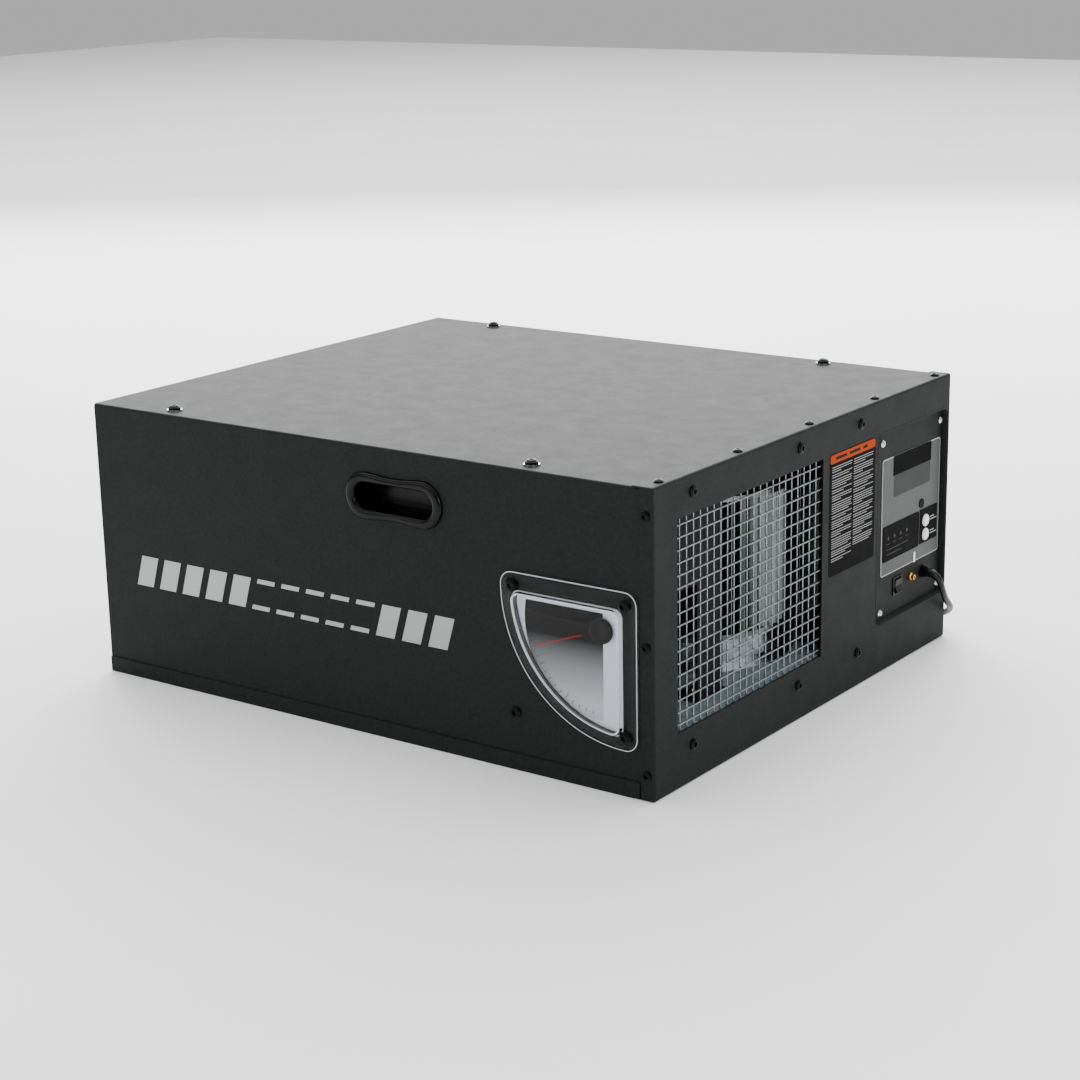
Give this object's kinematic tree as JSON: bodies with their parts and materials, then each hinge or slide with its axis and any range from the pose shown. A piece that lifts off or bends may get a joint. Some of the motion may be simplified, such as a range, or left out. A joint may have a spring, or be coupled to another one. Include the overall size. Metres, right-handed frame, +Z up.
{
  "type": "dust collector",
  "caption": "Ceiling-hung box air cleaner for a workshop, with slide-in filters, a centrifugal blower behind a wire grille, a filter gauge and a recessed control panel.",
  "frame": {"origin": "centre of the flat underside of the floor pan", "axes": "+Z up, +X towards the exhaust grille and the controls, -Y towards the side with the filter gauge"},
  "size_m": [0.7635, 0.7497, 0.3205],
  "materials": {
    "charcoal_powder_coat": "fine-textured powder coat",
    "galvanised_steel": "galvanised sheet",
    "grille_wire": "galvanised welded wire",
    "dark_baffle_steel": "satin dark paint",
    "black_screw_steel": "black oxide",
    "bright_screw_steel": "zinc plated",
    "spring_steel": "blued spring steel",
    "motor_enamel": "black enamel",
    "black_plastic": "moulded, fine grain",
    "white_button_plastic": "smooth",
    "red_window_plastic": "dark tinted",
    "grey_overlay_film": "printed film",
    "label_film": "printed film",
    "dial_card": "printed card",
    "clear_lens": "clear moulded",
    "needle_plastic": "smooth",
    "circuit_board": "solder mask",
    "capacitor_can": "drawn can",
    "brass": "machined",
    "filter_border": "folded sheet",
    "filter_media": "pleated fibre",
    "cord_jacket": "smooth jacket"
  },
  "bodies": {
    "housing": {"casing": "charcoal_powder_coat", "bottom_pan": "charcoal_powder_coat", "exhaust_cover": "charcoal_powder_coat", "control_plate": "charcoal_powder_coat", "wiring_box": "galvanised_steel", "scroll_wrap": "galvanised_steel", "blower_floor": "galvanised_steel", "blower_roof": "galvanised_steel", "outlet_tongue": "galvanised_steel", "inlet_ring_lower": "galvanised_steel", "inlet_ring_upper": "galvanised_steel", "mounting_angles": "galvanised_steel", "blower_feet": "galvanised_steel", "filter_rails": "galvanised_steel", "motor_bracket": "galvanised_steel", "exhaust_grille": "grille_wire", "outlet_baffle": "dark_baffle_steel", "cover_screws": "black_screw_steel", "end_screws": "black_screw_steel", "gauge_screws": "black_screw_steel", "hanging_screws": "black_screw_steel", "plate_screws": "bright_screw_steel", "hanging_washers": "bright_screw_steel", "hanging_nuts": "bright_screw_steel", "blower_bolts": "bright_screw_steel", "filter_springs": "spring_steel", "motor": "motor_enamel", "handle_front": "black_plastic", "handle_back": "black_plastic", "switch_body": "black_plastic", "cord_gland": "black_plastic", "key_panel": "black_plastic", "display_panel": "black_plastic", "gauge_tray": "black_plastic", "infrared_window": "red_window_plastic", "control_overlay": "grey_overlay_film", "warning_label": "label_film", "gauge_dial": "dial_card", "gauge_lens": "clear_lens", "gauge_bush": "needle_plastic", "control_board": "circuit_board", "capacitor": "capacitor_can", "brass_fitting": "brass", "cord_tube": "cord_jacket", "cord_coil": "cord_jacket", "cord_plug": "cord_jacket", "cord_tie": "cord_jacket"},
    "fan": {"wheel_blades": "galvanised_steel", "wheel_rings": "galvanised_steel", "wheel_disc": "galvanised_steel", "motor_shaft": "bright_screw_steel"},
    "gauge_pointer": {"gauge_needle": "needle_plastic", "gauge_counterweight": "bright_screw_steel"},
    "upper_key": {"button_upper": "white_button_plastic"},
    "lower_key": {"button_lower": "white_button_plastic"},
    "power_rocker": {"switch_rocker": "black_plastic"},
    "outer_filter": {"prefilter_frame": "filter_border", "prefilter_media": "filter_media"},
    "pocket_filter": {"pocket_filter_frame": "filter_border", "filter_pockets": "filter_media"}
  },
  "joints": [
    {"name": "fan_spin", "type": "hinge", "parent": "housing", "child": "fan", "pos_m": [0.2215, -0.0115, 0.1695], "axis": [0, 0, 1], "continuous": true},
    {"name": "gauge_swing", "type": "hinge", "parent": "housing", "child": "gauge_pointer", "pos_m": [0.313, -0.3135, 0.166], "axis": [0, -1, 0], "range_deg": [0, 84]},
    {"name": "upper_key_press", "type": "slide", "parent": "housing", "child": "upper_key", "axis": [-1, 0, 0], "range_m": [0, 0.0012], "stiffness_N_per_m": 600},
    {"name": "lower_key_press", "type": "slide", "parent": "housing", "child": "lower_key", "axis": [-1, 0, 0], "range_m": [0, 0.0012], "stiffness_N_per_m": 600},
    {"name": "rocker_tip", "type": "hinge", "parent": "housing", "child": "power_rocker", "pos_m": [0.365, 0.203, 0.0895], "axis": [0, 1, 0], "range_deg": [0, 16]},
    {"name": "outer_filter_slide", "type": "slide", "parent": "housing", "child": "outer_filter", "axis": [-1, 0, 0], "range_m": [0, 0.32]},
    {"name": "pocket_filter_slide", "type": "slide", "parent": "housing", "child": "pocket_filter", "axis": [-1, 0, 0], "range_m": [0, 0.32]}
  ],
  "couplings": [
    {"joint": "outer_filter_slide", "follows": "pocket_filter_slide", "ratio": 1}
  ]
}
